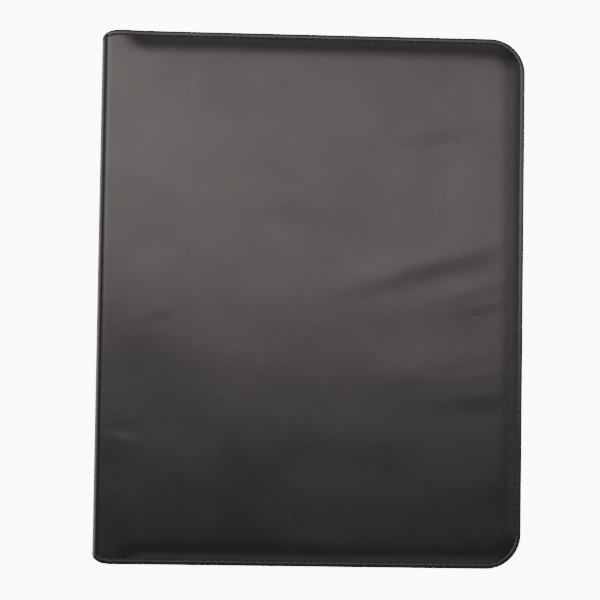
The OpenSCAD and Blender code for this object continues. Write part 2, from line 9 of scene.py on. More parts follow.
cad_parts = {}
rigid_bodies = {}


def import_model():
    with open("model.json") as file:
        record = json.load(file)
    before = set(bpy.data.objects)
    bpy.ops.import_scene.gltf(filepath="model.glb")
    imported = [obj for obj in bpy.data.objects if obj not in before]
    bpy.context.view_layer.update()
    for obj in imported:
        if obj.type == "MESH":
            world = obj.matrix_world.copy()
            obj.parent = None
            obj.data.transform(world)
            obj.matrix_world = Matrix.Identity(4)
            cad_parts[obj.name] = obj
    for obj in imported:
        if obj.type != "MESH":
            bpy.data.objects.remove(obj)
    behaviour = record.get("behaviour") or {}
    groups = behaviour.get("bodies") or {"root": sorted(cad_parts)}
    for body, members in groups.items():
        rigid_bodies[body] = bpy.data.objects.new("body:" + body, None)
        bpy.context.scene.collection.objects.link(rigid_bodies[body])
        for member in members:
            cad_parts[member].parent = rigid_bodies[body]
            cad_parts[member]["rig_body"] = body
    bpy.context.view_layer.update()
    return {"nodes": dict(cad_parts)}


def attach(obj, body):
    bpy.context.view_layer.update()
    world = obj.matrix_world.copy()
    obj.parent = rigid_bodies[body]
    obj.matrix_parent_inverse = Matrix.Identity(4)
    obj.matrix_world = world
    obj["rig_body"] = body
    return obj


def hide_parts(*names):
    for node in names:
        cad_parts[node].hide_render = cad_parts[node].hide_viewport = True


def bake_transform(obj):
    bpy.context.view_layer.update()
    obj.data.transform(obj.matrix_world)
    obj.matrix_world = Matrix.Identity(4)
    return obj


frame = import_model()

MM = 0.001

# ------------------------------------------------------------------ sizes, in millimetres
CASE_W, CASE_H, CASE_T = 264.0, 330.0, 25.0
CORNER_R, FOLD_R = 22.0, 6.0
SPINE_X, FORE_X = -CASE_W / 2, CASE_W / 2
FOLD_X = SPINE_X + FOLD_R
HALF_H = CASE_H / 2
CORNER_X, CORNER_Y = FORE_X - CORNER_R, HALF_H - CORNER_R

# Each cover's edge: a stitched margin that lies lower than the padded face, and a hem.
# u is the distance inwards from the edge.
SKIN_T = 1.0
MARGIN_DROP, MARGIN_W, SLOPE_W = 2.0, 3.4, 15.0
MARGIN_FADE, SWELL_FADE, FOLD_EASE = 22.0, 16.0, 4.0
HEM_W, HEM_T = 8.0, 0.8
DROP_H, DROP_W = 5.0, 12.0
STITCH_U, STITCH_Z, STITCH_PITCH = 3.1, 2.2, 4.4

# The flat lie of a cover with its half of the spine: s runs from the fore edge.
FOLD_LENGTH = FOLD_R * math.pi / 2
S_FOLD = FORE_X - FOLD_X
S_SPINE = S_FOLD + FOLD_LENGTH
S_MID = S_SPINE + CASE_T / 2 - FOLD_R

LINING_U, LINING_LOW, LINING_TOP = 4.45, 4.35, 5.0
SPINE_LINING_U, SPINE_LINING_LOW, SPINE_LINING_TOP = 9.6, 2.3, 2.95
BOARD_Z, FOAM_CLEAR = 2.4, 0.35

ZIP_U, TAPE_T, TAPE_END_X = 3.8, 0.5, -120.0
FLANGE_U, FLANGE_IN_U, FLANGE_LOW, FLANGE_TOP = 1.4, 9.0, 3.85, 4.3
CORD_Z = 9.7
MEET_Y = 6.0
SPREAD, SPREAD_FLAT, SPREAD_RUN = 2.2, 1.2, 9.0

PAD_X0, PAD_X1, PAD_Y = -98.0, 118.0, 139.5
BINDING_W, BINDING_CLEAR = 12.0, 2.0
SHEETS_Z, SHEETS_TOP = 7.3, 12.3
RULE_PITCH, RULE_W, RULE_TOP = 7.1, 0.35, 112.0
MARGIN_LINE_X, MARGIN_LINE_HALF = -66.0, 0.2

# FIT is the gap left under a sewn panel. The rows of stitches keep SEW_IN from a panel's sides
# and foot, and HEM_ROW from its mouth.
PANEL_T, BORDER_W, POCKET_GAP, FIT = 0.6, 4.0, 0.3, 0.02
PANEL_TOP = PANEL_T + FIT
SEW_IN, SEW_START, HEM_ROW, HEM_SIDE = 1.9, 1.0, 5.6, 4.5
POCKET_LOW, PAD_PANEL_Z = 5.05, 6.4
DOCUMENT_Y, DOCUMENT_H, DOCUMENT_ROOM = -150.0, 180.0, 1.2
CARD_COUNT, CARD_W, CARD_H, CARD_STEP, CARD_CLEAR = 3, 106.0, 48.0, 18.0, 10.0
LOOP_W, LOOP_H, LOOP_L, ELASTIC_T, LOOP_FOOT = 11.0, 8.0, 22.0, 0.9, 1.0
LOOP_SPINE_GAP, LOOP_FOOT_HALF = 14.6, LOOP_W / 2 + ELASTIC_T + LOOP_FOOT
LOOP_X, LOOP_Y = SPINE_X + LOOP_SPINE_GAP + LOOP_FOOT_HALF, 40.0
LOOP_STEPS, FOOT_STEPS, RIB_STEPS, RIBS = 72, 24, 128, 16


# ------------------------------------------------------------------ camera
# Its place and turn were fitted to the outline in the photograph.
camera_data = bpy.data.cameras.new("camera")
camera_data.lens = 153.1
camera_data.sensor_width = 36
camera_data.clip_end = 20
camera = bpy.data.objects.new("camera", camera_data)
camera.location = (-0.0953, -0.1056, 1.5937)
camera.rotation_euler = (math.radians(3.76), math.radians(-3.28), math.radians(0.86))
bpy.context.scene.collection.objects.link(camera)
bpy.context.scene.camera = camera


# ------------------------------------------------------------------ materials
class Nodes:
    """A material's nodes, made and linked by short calls."""

    def __init__(self, name):
        self.material = bpy.data.materials.new(name)
        self.material.use_nodes = True
        self.tree = self.material.node_tree
        self.shader = self.tree.nodes["Principled BSDF"]
        self.place = self.add("ShaderNodeTexCoord").outputs["Object"]

    def add(self, kind, **values):
        made = self.tree.nodes.new(kind)
        for key, value in values.items():
            setattr(made, key, value)
        return made

    def link(self, output, target):
        self.tree.links.new(output, target)

    def noise(self, scale, detail=3.0, roughness=0.5):
        made = self.add("ShaderNodeTexNoise")
        made.inputs["Scale"].default_value = scale
        made.inputs["Detail"].default_value = detail
        made.inputs["Roughness"].default_value = roughness
        self.link(self.place, made.inputs["Vector"])
        return made.outputs["Fac"]

    def cells(self, scale, feature):
        made = self.add("ShaderNodeTexVoronoi", feature=feature)
        made.inputs["Scale"].default_value = scale
        if feature == "SMOOTH_F1":
            made.inputs["Smoothness"].default_value = 0.4
        self.link(self.place, made.inputs["Vector"])
        return made.outputs["Distance"]

    def wave(self, scale, direction, distortion):
        made = self.add("ShaderNodeTexWave", bands_direction=direction)
        made.inputs["Scale"].default_value = scale
        made.inputs["Distortion"].default_value = distortion
        self.link(self.place, made.inputs["Vector"])
        return made.outputs["Fac"]

    def maths(self, operation, *values):
        made = self.add("ShaderNodeMath", operation=operation)
        for socket, value in zip(made.inputs, values):
            if isinstance(value, (int, float)):
                socket.default_value = value
            else:
                self.link(value, socket)
        return made.outputs["Value"]

    def spread(self, value, low, high, new_low, new_high):
        made = self.add("ShaderNodeMapRange")
        for socket, number in zip(made.inputs[1:5], (low, high, new_low, new_high)):
            socket.default_value = number
        self.link(value, made.inputs["Value"])
        return made.outputs["Result"]

    def mixed(self, fac, under, over):
        """The colour over laid on under, which is a colour or a node's output."""
        made = self.add("ShaderNodeMix", data_type="RGBA")
        if isinstance(under, tuple):
            made.inputs["A"].default_value = (*under, 1)
        else:
            self.link(under, made.inputs["A"])
        made.inputs["B"].default_value = (*over, 1)
        self.link(fac, made.inputs["Factor"])
        return made.outputs["Result"]

    def bump(self, height, distance, after=None):
        made = self.add("ShaderNodeBump")
        made.inputs["Distance"].default_value = distance
        made.inputs["Strength"].default_value = 1.0
        self.link(height, made.inputs["Height"])
        if after is not None:
            self.link(after, made.inputs["Normal"])
        return made.outputs["Normal"]

    def finish(self, color=None, roughness=None, normal=None, **values):
        for name, value in (("Base Color", color), ("Roughness", roughness),
                            ("Normal", normal), *values.items()):
            if value is None:
                continue
            socket = self.shader.inputs[name]
            if isinstance(value, (int, float)):
                socket.default_value = value
            elif isinstance(value, tuple):
                socket.default_value = (*value, 1)
            else:
                self.link(value, socket)
        return self.material


def leatherette(name, dark, light, rough):
    """Coated leathercloth: fine pebbled grain and a satin finish."""
    m = Nodes(name)
    grain_depth, fine_depth, rough_change = 0.000022, 0.00001, 0.035
    clouds = m.noise(16, 5, 0.6)
    fine = m.noise(900, 2)
    pebbles = m.cells(1500, "SMOOTH_F1")
    pores = m.cells(620, "F1")
    grain = m.maths("ADD", m.maths("MULTIPLY", pebbles, 0.7), m.maths("MULTIPLY", pores, 0.45))
    normal = m.bump(fine, fine_depth, after=m.bump(grain, grain_depth))
    rough_value = m.spread(clouds, 0.3, 0.7, rough - rough_change, rough + rough_change)
    return m.finish(m.mixed(m.spread(clouds, 0.3, 0.7, 0, 1), dark, light), rough_value, normal)


def woven(name, dark, light, pitch):
    """Cloth with a fine fuzz: two crossing sets of broad bands, pitch metres apart, vary its colour
    and bump.
    """
    m = Nodes(name)
    turns = math.tau / pitch / 20
    thread_depth, fuzz_depth = 0.00012, 0.00004
    warp = m.wave(turns, "X", 0.4)
    weft = m.wave(turns, "Y", 0.4)
    rise = m.wave(turns, "Z", 0.4)
    cloth = m.maths("MULTIPLY", m.maths("MAXIMUM", warp, weft), m.maths("ADD", rise, 0.6))
    clouds = m.noise(60, 4)
    fuzz = m.noise(2500, 2)
    normal = m.bump(fuzz, fuzz_depth, after=m.bump(cloth, thread_depth))
    shade = m.maths("MULTIPLY", m.spread(cloth, 0, 1.4, 0.2, 1), m.spread(clouds, 0.3, 0.7, 0.8, 1))
    return m.finish(m.mixed(shade, dark, light), 0.85, normal)


def twisted(name, dark, light):
    """Sewing thread, mottled by its twist."""
    m = Nodes(name)
    twist = m.noise(3500, 2)
    return m.finish(m.mixed(m.spread(twist, 0.35, 0.65, 0, 1), dark, light), 0.5,
                    m.bump(twist, 0.00008))


def moulded(name, color, rough):
    """A plain moulded finish, a little cloudy in its colour and its gloss."""
    m = Nodes(name)
    clouds = m.noise(300, 3)
    fine = m.noise(3000, 2)
    shade = m.spread(clouds, 0.3, 0.7, 0, 1)
    lighter = tuple(min(1, c * 1.5 + 0.004) for c in color)
    rough_value = m.spread(clouds, 0.3, 0.7, rough - 0.05, rough + 0.08)
    return m.finish(m.mixed(shade, color, lighter), rough_value, m.bump(fine, 0.00001))


def lacquered(name, color, rough):
    """Black lacquered zinc, worn a little through use."""
    m = Nodes(name)
    wear = m.noise(180, 6, 0.7)
    fine = m.noise(2600, 2)
    bare_metal = (0.12, 0.12, 0.125)
    shade = m.mixed(m.spread(wear, 0.62, 0.72, 0, 1), color, bare_metal)
    rough_value = m.spread(wear, 0.3, 0.7, rough, rough + 0.16)
    return m.finish(shade, rough_value, m.bump(fine, 0.000012), Metallic=0.55)


def card_stock(name, dark, light):
    """Flecked board, as made from waste paper."""
    m = Nodes(name)
    flecks = m.noise(900, 4, 0.7)
    clouds = m.noise(40, 3)
    shade = m.maths("MULTIPLY", m.spread(flecks, 0.35, 0.65, 0.3, 1),
                    m.spread(clouds, 0.3, 0.7, 0.7, 1))
    return m.finish(m.mixed(shade, dark, light), 0.9, m.bump(flecks, 0.00005))


def paper(name, ruled):
    """Uncoated paper. The top sheet is ruled with pale lines and a margin line."""
    m = Nodes(name)
    fibre = m.noise(1400, 4, 0.7)
    clouds = m.noise(30, 3)
    shade = m.maths("ADD", m.maths("MULTIPLY", fibre, 0.5), m.maths("MULTIPLY", clouds, 0.5))
    color = m.mixed(m.spread(shade, 0.35, 0.65, 0, 1), (0.78, 0.765, 0.71), (0.84, 0.83, 0.78))
    if ruled:
        split = m.add("ShaderNodeSeparateXYZ")
        m.link(m.place, split.inputs["Vector"])
        row = m.maths("MODULO", m.maths("ADD", split.outputs["Y"], 1.0), RULE_PITCH * MM)
        on_line = m.maths("LESS_THAN", row, RULE_W * MM)
        below_top = m.maths("LESS_THAN", split.outputs["Y"], RULE_TOP * MM)
        color = m.mixed(m.maths("MULTIPLY", on_line, below_top), color, (0.32, 0.48, 0.66))
        on_margin = m.maths("COMPARE", split.outputs["X"], MARGIN_LINE_X * MM,
                            MARGIN_LINE_HALF * MM)
        color = m.mixed(on_margin, color, (0.72, 0.32, 0.34))
    return m.finish(color, 0.8, m.bump(fibre, 0.00002))


LEATHER = leatherette("leatherette", (0.003, 0.0029, 0.0028), (0.0046, 0.0044, 0.0042), 0.275)
POCKET_LEATHER = leatherette("pocket_leatherette", (0.005, 0.005, 0.005),
                             (0.008, 0.008, 0.008), 0.36)
THREAD = twisted("thread", (0.02, 0.019, 0.0185), (0.06, 0.057, 0.055))
# The needle holes' near-black material is painted shade: its spots stand in for the shade inside
# the holes.
HOLE_SHADE_PAINT = moulded("needle_hole_painted_shade", (0.0015, 0.0015, 0.0015), 0.9)
LINING = woven("lining", (0.01, 0.01, 0.011), (0.04, 0.04, 0.043), 0.5)
TAPE = woven("zip_tape", (0.006, 0.006, 0.0065), (0.03, 0.03, 0.032), 0.7)
TEETH = moulded("zip_teeth", (0.012, 0.012, 0.013), 0.34)
METAL = lacquered("slider_metal", (0.012, 0.012, 0.013), 0.3)
FOAM = moulded("foam", (0.3, 0.3, 0.31), 0.9)
GREYBOARD = card_stock("greyboard", (0.25, 0.235, 0.21), (0.42, 0.4, 0.36))
BACKING = card_stock("backing_card", (0.3, 0.25, 0.18), (0.5, 0.43, 0.33))
BINDING = moulded("binding", (0.03, 0.03, 0.033), 0.45)
PAPER = paper("paper", False)
RULED = paper("ruled_paper", True)
ELASTIC = woven("elastic", (0.008, 0.008, 0.009), (0.035, 0.035, 0.038), 0.35)


# ------------------------------------------------------------------ mesh helpers
def make(name, points, faces, material, smooth=True):
    """A mesh object from points in millimetres."""
    mesh = bpy.data.meshes.new(name)
    mesh.from_pydata([tuple(c * MM for c in p) for p in points], [], faces)
    mesh.validate()
    if smooth:
        mesh.shade_smooth()
    mesh.materials.append(material)
    made = bpy.data.objects.new(name, mesh)
    bpy.context.scene.collection.objects.link(made)
    return made


def turned_over(points, faces):
    """The front cover's piece from the back cover's."""
    return ([(x, y, CASE_T - z) for x, y, z in points], [f[::-1] for f in faces])


def make_on_cover(side, name, points, faces, material):
    """A mesh object from the points that a piece has on the back cover."""
    if side == "front":
        points, faces = turned_over(points, faces)
    return make(name, points, faces, material)


def repaint(node, material):
    """A CAD node that stays gets a better material."""
    mesh = frame["nodes"][node].data
    mesh.materials.clear()
    mesh.materials.append(material)


def softened(node, name, material, width, segments):
    """A copy of a rigid CAD node with its edges rounded, in place of the node."""
    flat_angle, sharp_angle, shade_angle = math.radians(1.5), math.radians(30), math.radians(50)
    source = frame["nodes"][node]
    made = bpy.data.objects.new(name, source.data.copy())
    bpy.context.scene.collection.objects.link(made)
    bm = bmesh.new()
    bm.from_mesh(made.data)
    bmesh.ops.remove_doubles(bm, verts=bm.verts, dist=1e-7)
    bmesh.ops.dissolve_limit(bm, angle_limit=flat_angle, verts=bm.verts, edges=bm.edges)
    sharp = [e for e in bm.edges
             if len(e.link_faces) == 2 and e.calc_face_angle(0) > sharp_angle]
    bmesh.ops.bevel(bm, geom=sharp, offset=width * MM, segments=segments, profile=0.5,
                    affect="EDGES", clamp_overlap=True)
    bm.to_mesh(made.data)
    bm.free()
    made.data.materials.clear()
    made.data.materials.append(material)
    made.data.shade_smooth()
    made.data.set_sharp_from_angle(angle=shade_angle)
    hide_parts(node)
    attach(made, source["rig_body"])


def ease(t):
    """Smooth step from 0 to 1."""
    t = min(max(t, 0.0), 1.0)
    return t * t * (3 - 2 * t)


# ------------------------------------------------------------------ the covers' surface
# A cover's sheet is laid out flat: s runs from the fore edge to the middle of the spine's
# height, y along the spine. Heights are counted inwards from the outer face.
def corner_drop(x):
    """How far the head and foot edges draw in beside the spine."""
    share = (x - SPINE_X) / DROP_W
    return 0.0 if share >= 1 else DROP_H * (1 - math.sqrt(max(0.0, 1 - (1 - share) ** 2)))


def base_point(s):
    """(x, z, normal x, normal z) of the back cover's outer face at s."""
    if s <= S_FOLD:
        return FORE_X - s, 0.0, 0.0, -1.0
    if s <= S_SPINE:
        a = math.radians(270) - (s - S_FOLD) / FOLD_R
        return (FOLD_X + FOLD_R * math.cos(a), FOLD_R + FOLD_R * math.sin(a),
                math.cos(a), math.sin(a))
    return SPINE_X, FOLD_R + s - S_SPINE, -1.0, 0.0


def face_z(u):
    """Depth of the padded face below its plane: steep beside the margin, then easing out."""
    share = min(max((u - MARGIN_W) / SLOPE_W, 0.0), 1.0)
    return MARGIN_DROP * (1 - share) ** 3


FACE_STEPS, FOLD_STEPS, FORE_STEPS, CORNER_STEPS = 104, 20, 130, 14
S_VALUES = [CORNER_R + (S_FOLD - FOLD_EASE - CORNER_R) * i / FACE_STEPS
            for i in range(FACE_STEPS + 1)]
S_VALUES += [S_FOLD - FOLD_EASE + (S_MID - S_FOLD + FOLD_EASE) * i / FOLD_STEPS
             for i in range(1, FOLD_STEPS + 1)]
Y_VALUES = [-CORNER_Y + 2 * CORNER_Y * i / FORE_STEPS for i in range(FORE_STEPS + 1)]


def stations():
    """Places round the free sides, from the middle of the spine at the head to that at the
    foot: (edge point x, y, z), (inward x, y), (normal x, z), and s, which is None past the
    straight stretches of the head and foot."""
    found = []
    for s in reversed(S_VALUES):
        x, z, nx, nz = base_point(s)
        found.append(((x, HALF_H - corner_drop(x), z), (0, -1), (nx, nz), s))
    for i in range(1, CORNER_STEPS):
        a = math.radians(90 - 90 * i / CORNER_STEPS)
        c, d = math.cos(a), math.sin(a)
        found.append(((CORNER_X + CORNER_R * c, CORNER_Y + CORNER_R * d, 0), (-c, -d), (0, -1),
                      None))
    upper = list(found)
    for y in reversed(Y_VALUES):
        found.append(((FORE_X, y, 0), (-1, 0), (0, -1), None))
    for (x, y, z), (ix, iy), normal, s in reversed(upper):
        found.append(((x, -y, z), (ix, -iy), normal, s))
    return found


STATIONS = stations()
FORE_COUNT = len(Y_VALUES)


def on_station(station, u, z):
    """The point at distance u inwards from the edge and z in from the outer face."""
    (x, y, base), (ix, iy), (nx, nz), _ = station
    return (x + ix * u - nx * z, y + iy * u, base - nz * z)


def margin_rise(station, u):
    """Near the fold the margin isn't stepped back from the face."""
    s = station[3]
    return 0.0 if s is None else face_z(u) * (1 - ease((S_FOLD - FOLD_EASE - s) / MARGIN_FADE))


def sheet_mesh(section, middle_low, middle_high, reach=None):
    """Points and faces of a cover's layer. section is a list of functions, each giving (u, z)
    for a station; its first and last rings end at u = CORNER_R, where the middle joins them.
    With reach, only that many S_VALUES are used and the layer is closed at its end there."""
    points, faces = [], []
    n = len(section)
    s_values = S_VALUES[:reach]
    cut = len(S_VALUES) - len(s_values)
    used = STATIONS[cut:len(STATIONS) - cut]
    head_count = len(s_values)
    fore_from = head_count + CORNER_STEPS - 1
    for station in used:
        for place in section:
            u, z = place(station)
            points.append(on_station(station, u, z))
    for k in range(len(used) - 1):
        for i in range(n - 1):
            a, b = k * n + i, (k + 1) * n + i
            faces.append((a, a + 1, b + 1, b))

    def middle(ring, height, flip):
        """The sheet inside a ring. Gives the points along its end at the spine."""
        index = {}
        count = FORE_COUNT - 1
        for i in range(head_count):
            index[i, count] = (head_count - 1 - i) * n + ring
            index[i, 0] = (len(used) - 1 - (head_count - 1 - i)) * n + ring
        for j in range(1, count):
            index[0, j] = (fore_from + count - j) * n + ring
        for i, s in enumerate(s_values):
            if i == 0:
                continue
            x, base, nx, nz = base_point(s)
            half = HALF_H - corner_drop(x) - CORNER_R
            for j in range(1, count):
                y = Y_VALUES[j] * half / CORNER_Y
                z = height(s, y)
                index[i, j] = len(points)
                points.append((x - nx * z, y, base - nz * z))
        for i in range(head_count - 1):
            for j in range(count):
                quad = (index[i, j], index[i, j + 1], index[i + 1, j + 1], index[i + 1, j])
                faces.append(quad if flip else quad[::-1])
        return [index[head_count - 1, j] for j in range(count + 1)]

    high = middle(0, middle_high, False)
    low = middle(n - 1, middle_low, True)
    if reach:
        for j in range(FORE_COUNT - 1):
            faces.append((high[j], high[j + 1], low[j + 1], low[j]))
        faces.append(tuple(range(n)))
        faces.append(tuple(reversed(range((len(used) - 1) * n, len(used) * n))))
    return points, faces


def blended(made, side):
    """Bakes a cover's soft piece's transform into its mesh."""
    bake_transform(made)


# ------------------------------------------------------------------ leatherette covers
# Soft creases of the front cover: x, y, angle in degrees, length, width, tilt in degrees.
# A tilt above 0 turns the surface towards the foot, which takes it out of the softbox.
CREASES = [
    (77, 101, 12, 60, 20, -3.0), (-15, 53, -8, 64, 22, 1.3), (80, 20, 16, 98, 20, 2.5),
    (102, 12, 14, 34, 12, -1.5), (112, -4, 16, 32, 8, 1.8), (73, -32, 3, 92, 42, -1.2),
    (104, -43, 12, 42, 9, -1.0), (103, -64, 5, 54, 17, 1.2), (-115, -86, -10, 19, 8, -1.8),
    (-92, -12, 15, 19, 9, 1.0), (-104, -34, 4, 70, 80, 0.8), (-60, 112, 10, 90, 40, -0.5),
    (70, 60, 20, 60, 18, -0.5), (10, -95, 3, 120, 26, 0.5),
]


def swelling(x, y, seed):
    """How far the leatherette stands out of its plain form, in millimetres."""
    value = 0.2 * noise.noise((x / 74 + seed, y / 74, 0.3))
    value += 0.08 * noise.noise((x / 26, y / 26 + seed, 1.7))
    value += 0.008 * noise.noise((x / 9 + seed, y / 9, 4.1))
    if seed == 0:
        for cx, cy, angle, length, width, tilt in CREASES:
            c, d = math.cos(math.radians(angle)), math.sin(math.radians(angle))
            along = (x - cx) * c + (y - cy) * d
            across = -(x - cx) * d + (y - cy) * c
            reach = (2 * along / length) ** 2 + (2 * across / width) ** 2
            if reach < 9:
                value += math.radians(tilt) * across * math.exp(-reach)
    return value


# The stitched margin's outer face as (u, z): the hem's crown and a groove for the stitches.
MARGIN_SECTION = [
    (1.1, 1.97), (1.4, 1.945), (1.75, 1.93), (2.1, 1.93), (2.4, 1.935), (2.6, 1.96),
    (2.78, 2.05), (2.94, 2.15), (3.1, 2.19), (3.25, 2.17), (3.4, 2.06), (3.6, 1.9),
]
PUCKER, PUCKER_PITCH, PUCKER_FROM, PUCKER_TO = 0.05, 5.1, 2, 12
FACE_U = (3.9, 4.4, 5, 5.7, 6.5, 7.4, 8.4, 9.5, 10.7, 12, 13.5, 15.2, 17.2, 19.5, CORNER_R)
UNDER_U, HEM_U = (17, 13.6, 11.4, 9.1, 6.9, 5.4), (6.4, 4.4, 2.6, 1.6)
EDGE_STEPS = 8


def leather_cover(side):
    """The leatherette of a cover with its half of the spine, and its hem."""
    seed = 0 if side == "front" else 7.3

    def push(x, y, u):
        """How far the padded face stands out at a place: the back, which rests, only sinks."""
        value = swelling(x, y, seed) * ease((u - MARGIN_W) / SWELL_FADE)
        return min(value, 0.0) if side == "back" else value

    def outer(u, z):
        def place(station):
            (x, y, _), (ix, iy), _, _ = station
            out = push(x + ix * u, y + iy * u, u) if u > MARGIN_W else 0
            pucker = 0
            if PUCKER_FROM < u < PUCKER_TO and z > 0.3:
                at = ((x + 3 * y) / PUCKER_PITCH, (y - x) / PUCKER_PITCH, seed)
                pucker = PUCKER * noise.noise(at)
            return u, z - out - pucker - margin_rise(station, u)
        return place

    def hidden(u, z):
        return lambda station: (u, z - margin_rise(station, u))

    edge_r = (SKIN_T + HEM_T) / 2
    hem_z = MARGIN_DROP + SKIN_T + HEM_T
    section = [hidden(CORNER_R, SKIN_T)]
    section += [hidden(u, face_z(u) + SKIN_T) for u in UNDER_U]
    section += [hidden(HEM_W, MARGIN_DROP + SKIN_T), hidden(HEM_W, hem_z)]
    section += [hidden(u, hem_z) for u in HEM_U]
    for i in range(EDGE_STEPS + 1):
        a = math.pi / 2 - math.pi * i / EDGE_STEPS
        section.append(hidden(edge_r * (1 - math.cos(a)),
                              MARGIN_DROP + edge_r + edge_r * math.sin(a)))
    section += [outer(u, z) for u, z in MARGIN_SECTION]
    section += [outer(u, face_z(u)) for u in FACE_U]

    def low(s, y):
        u = min(HALF_H - corner_drop(base_point(s)[0]) - abs(y), s)
        return -push(FORE_X - s, y, u) * (1 - ease((s - S_FOLD + FOLD_EASE) / SWELL_FADE))

    points, faces = sheet_mesh(section, low, lambda s, y: SKIN_T)
    made = make_on_cover(side, side + "_leather", points, faces, LEATHER)
    bm = bmesh.new()
    bm.from_mesh(made.data)
    bmesh.ops.remove_doubles(bm, verts=bm.verts, dist=2e-6)
    bm.to_mesh(made.data)
    bm.free()
    made.data.shade_smooth()
    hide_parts(side + "_skin", "spine_skin")
    blended(made, side)


# ------------------------------------------------------------------ linings and foams
def lining_inset(s):
    """The lining's edge runs near the zip, and further in on the spine."""
    if s is None:
        return LINING_U
    before_fold, turn_length = 6, 10
    share = ease((s - S_FOLD + before_fold) / turn_length)
    return LINING_U + (SPINE_LINING_U - LINING_U) * share


def lining_height(s, high):
    """Height of the lining's lower or upper face: it dips from the cover onto the spine."""
    on_cover = LINING_TOP if high else LINING_LOW
    on_spine = SPINE_LINING_TOP if high else SPINE_LINING_LOW
    return on_cover + (on_spine - on_cover) * ease((s - S_FOLD + 1) / (S_SPINE - S_FOLD - 1))


def lining_cloth(side):
    """The lining of a cover with its half of the spine, with its edge turned under."""
    def at(share, high, extra=0.0):
        def place(station):
            s = station[3]
            inset = lining_inset(s)
            z = lining_height(s if s is not None else 0, high)
            return inset + (CORNER_R - inset) * share, z + extra
        return place

    section = [at(1, True), at(0.6, True), at(0.25, True), at(0.09, True), at(0.05, True, -0.03),
               at(0.02, True, -0.12), at(0.008, True, -0.3), at(0.012, False, 0.1), at(0.03, False),
               at(0.3, False), at(1, False)]
    points, faces = sheet_mesh(section, lambda s, y: lining_height(s, False),
                               lambda s, y: lining_height(s, True), len(S_VALUES))
    made = make_on_cover(side, side + "_lining_cloth", points, faces, LINING)
    made.data.set_sharp_from_angle(angle=math.radians(70))
    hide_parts(side + "_lining", "spine_lining")
    blended(made, side)


def foam_sheet(side):
    """The foam between the leatherette and the board, with its edge thinned down to the hem."""
    under_skin = SKIN_T + FOAM_CLEAR
    rim_u, rim_z, slope_steps = 7.4, 2.85, 7

    def flat(u, z):
        return lambda station: (u, z)

    section = [flat(CORNER_R, BOARD_Z), flat(12, BOARD_Z), flat(9.75, BOARD_Z),
               flat(9.5, BOARD_Z - 0.1), flat(9.4, 2.9), flat(8.4, 2.95), flat(rim_u, 2.95),
               flat(7.2, 2.9)]
    for i in range(slope_steps + 1):
        u = rim_u + (MARGIN_W + SLOPE_W - rim_u) * i / slope_steps
        section.append(flat(u, min(rim_z, face_z(u) + under_skin)))
    section += [flat(17, under_skin), flat(CORNER_R, under_skin)]
    points, faces = sheet_mesh(section, lambda s, y: under_skin, lambda s, y: BOARD_Z,
                               FACE_STEPS + 1)
    made = make_on_cover(side, side + "_foam_sheet", points, faces, FOAM)
    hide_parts(side + "_foam")
    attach(made, side + "_cover")


# ------------------------------------------------------------------ stitches
STITCH_RINGS, STITCH_SIDES = 6, 8
# Each needle hole's spot of painted shade: rings of (size, height out of the surface).
HOLE_SHADE_RINGS, HOLE_SHADE_SIDES = ((1.0, 0.0), (0.8, 0.05), (0.4, 0.075)), 10


def edge_line(u, z, side):
    """Dense points (place, outward direction) of the line at u and z round the free sides."""
    line = []
    for station in STATIONS:
        x, y, height = on_station(station, u, z - margin_rise(station, u))
        nx, nz = station[2]
        if side == "front":
            height, nz = CASE_T - height, -nz
        line.append((Vector((x, y, height)), Vector((nx, 0, nz))))
    return line


def pitched(line, pitch, between=False):
    """Places about a pitch apart on a line, or halfway between those, each with its directions
    along the line, sideways and outwards."""
    lengths = [0.0]
    for (a, _), (b, _) in zip(line, line[1:]):
        lengths.append(lengths[-1] + (b - a).length)
    total = lengths[-1]
    count = int(total / pitch)
    first, shift = (1, 0.0) if between else (0, 0.5)
    k = 0
    for number in range(first, count):
        centre = (number + shift) * total / count
        while lengths[k + 1] < centre:
            k += 1
        share = (centre - lengths[k]) / max(1e-9, lengths[k + 1] - lengths[k])
        place = line[k][0].lerp(line[k + 1][0], share)
        out = line[k][1].lerp(line[k + 1][1], share).normalized()
        along = (line[k + 1][0] - line[k][0]).normalized()
        yield place, along, out.cross(along), out


def ring_faces(first, rings, sides):
    """The faces between rings of points that follow each other."""
    faces = []
    for i in range(rings):
        for j in range(sides):
            a, b = first + i * sides + j, first + i * sides + (j + 1) % sides
            faces.append((a, b, b + sides, a + sides))
    return faces


def stitch_mesh(line, pitch, length, radius, points, faces, sink, slant, lift):
    """Adds one bowed, slightly slanted stitch at each pitch along a line of places."""
    for place, along, sideways, out in pitched(line, pitch):
        wobble = noise.noise(place * 0.9)
        heading = (along + sideways * (slant + 0.12 * wobble)).normalized()
        width_way = out.cross(heading)
        first = len(points)
        size = length * (1 + 0.08 * wobble)
        for i in range(STITCH_RINGS + 1):
            t = i / STITCH_RINGS
            bow = math.sin(math.pi * t)
            middle = place + heading * (size * (t - 0.5)) + out * (sink * (bow ** 0.7 - 1) + lift)
            thick = radius * (0.62 + 0.38 * bow)
            for j in range(STITCH_SIDES):
                a = math.tau * j / STITCH_SIDES
                points.append(tuple(middle + width_way * (thick * math.cos(a))
                                    + out * (0.8 * thick * math.sin(a))))
        faces += ring_faces(first, STITCH_RINGS, STITCH_SIDES)
        last = first + STITCH_RINGS * STITCH_SIDES
        faces.append(tuple(first + j for j in reversed(range(STITCH_SIDES))))
        faces.append(tuple(last + j for j in range(STITCH_SIDES)))


